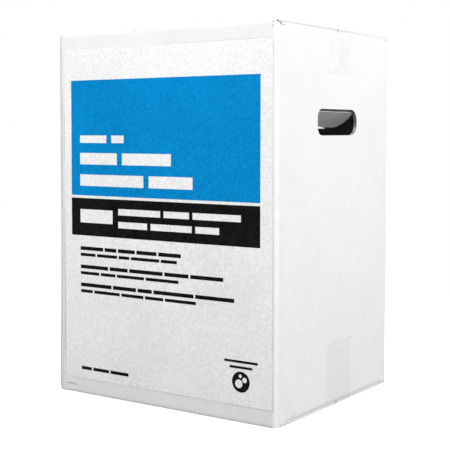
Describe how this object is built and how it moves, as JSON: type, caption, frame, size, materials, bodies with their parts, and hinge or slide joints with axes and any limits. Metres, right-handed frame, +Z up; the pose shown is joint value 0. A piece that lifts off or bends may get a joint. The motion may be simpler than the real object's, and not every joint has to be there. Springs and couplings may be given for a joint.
{
  "type": "washing powder box",
  "caption": "Tall taped case of white corrugated board with a printed front label, a hand hole with a creased tab in each side panel and a tied bag of washing powder inside.",
  "frame": {"origin": "middle of the underside, on the surface that the case stands on", "axes": "+Z up, the front panel with the label faces -Y, the right side panel faces +X"},
  "size_m": [0.3304, 0.2733, 0.4574],
  "materials": {
    "white_board": "white lined corrugated board, matt",
    "clear_tape": "clear packaging film, satin",
    "label_paper": "uncoated printed paper with a fine grain",
    "blue_ink": "printed ink, matt",
    "black_ink": "printed ink, matt",
    "bag_film": "thin milky film",
    "tie_plastic": "moulded"
  },
  "bodies": {
    "case": {"carton": "white_board", "top_tape": "clear_tape", "bottom_tape": "clear_tape", "front_label": "label_paper", "label_blue_field": "blue_ink", "label_black_band": "black_ink", "label_dark_lines": "black_ink", "label_emblem": "black_ink", "liner_bag": "bag_film", "bag_tie": "tie_plastic"},
    "right_tab": {"hand_hole_tab_right": "white_board"},
    "left_tab": {"hand_hole_tab_left": "white_board"}
  },
  "joints": [
    {"name": "right_tab_crease", "type": "hinge", "parent": "case", "child": "right_tab", "pos_m": [0.161, 0, 0.3608], "axis": [0, 1, 0], "range_deg": [-53, 92]},
    {"name": "left_tab_crease", "type": "hinge", "parent": "case", "child": "left_tab", "pos_m": [-0.161, 0, 0.3608], "axis": [0, -1, 0], "range_deg": [-53, 92]}
  ]
}
